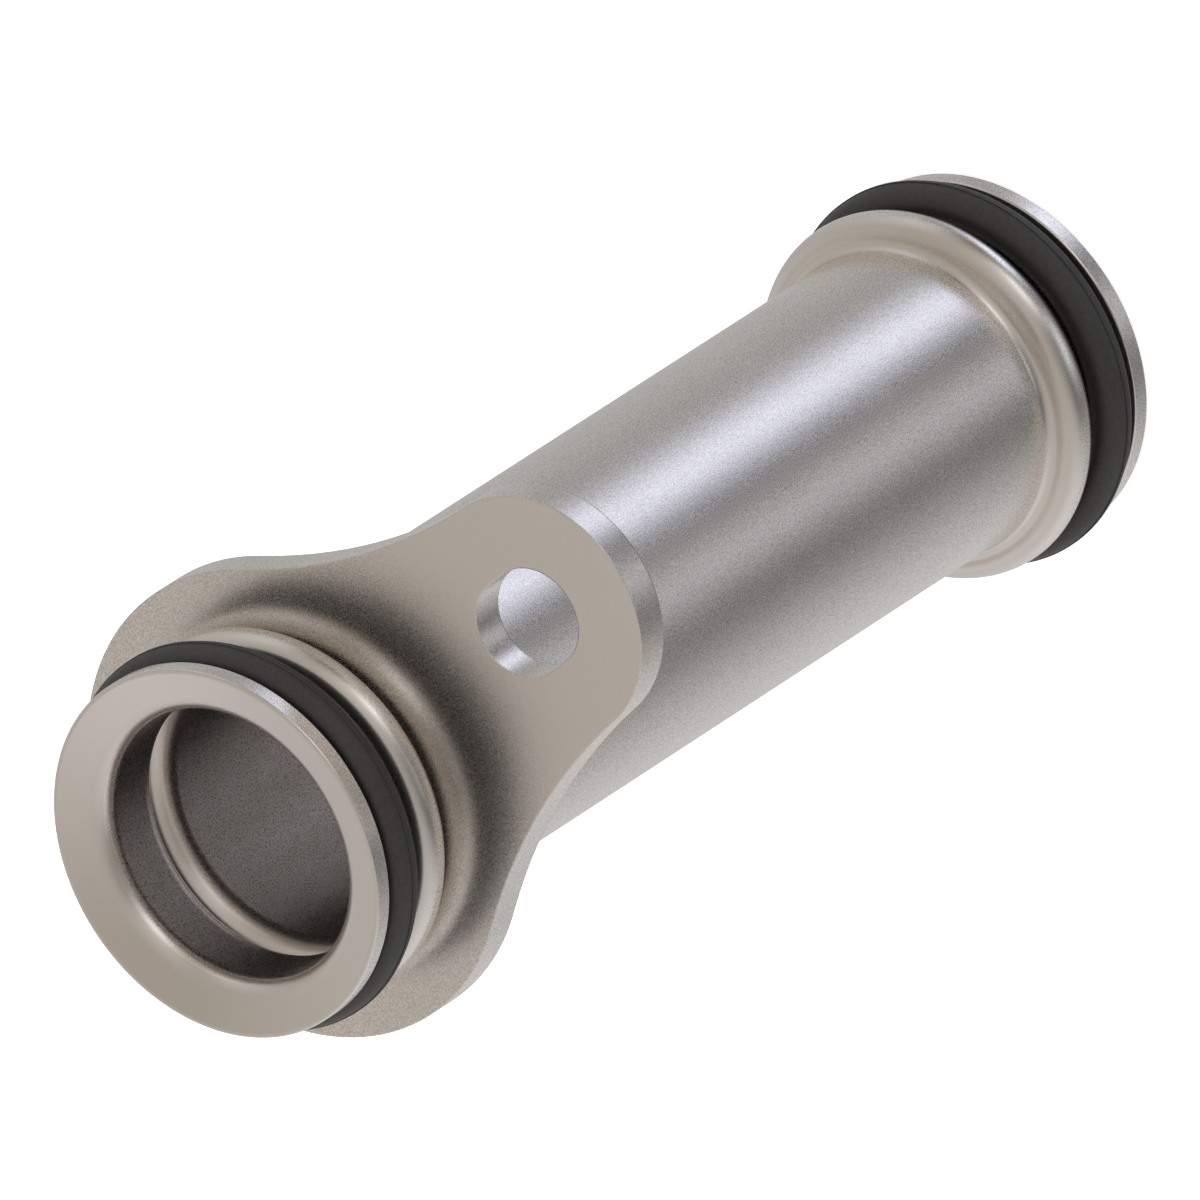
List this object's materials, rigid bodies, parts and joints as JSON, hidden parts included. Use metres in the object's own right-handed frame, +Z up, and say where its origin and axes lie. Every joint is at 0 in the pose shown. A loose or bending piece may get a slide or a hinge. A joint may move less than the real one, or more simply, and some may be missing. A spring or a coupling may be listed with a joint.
{
  "type": "coolant bypass tube",
  "caption": "Straight steel coolant tube with flared, beaded, ring-sealed ends that plug into round bores, held by an eared plate with a slotted bolt hole.",
  "frame": {"origin": "centre of the rear end face, on the tube axis, where the part stands", "axes": "+Z up the tube axis from the rear end to the front mouth, +X towards the ear of the plate"},
  "size_m": [0.0673, 0.0424, 0.1144],
  "materials": {
    "tube_steel": "satin, fine grain",
    "plate_steel": "satin, fine grain",
    "seal_rubber": "dull moulded"
  },
  "bodies": {
    "root": {"tube": "tube_steel", "mounting_plate": "plate_steel", "front_seal_ring": "seal_rubber", "rear_seal_ring": "seal_rubber"}
  },
  "joints": []
}
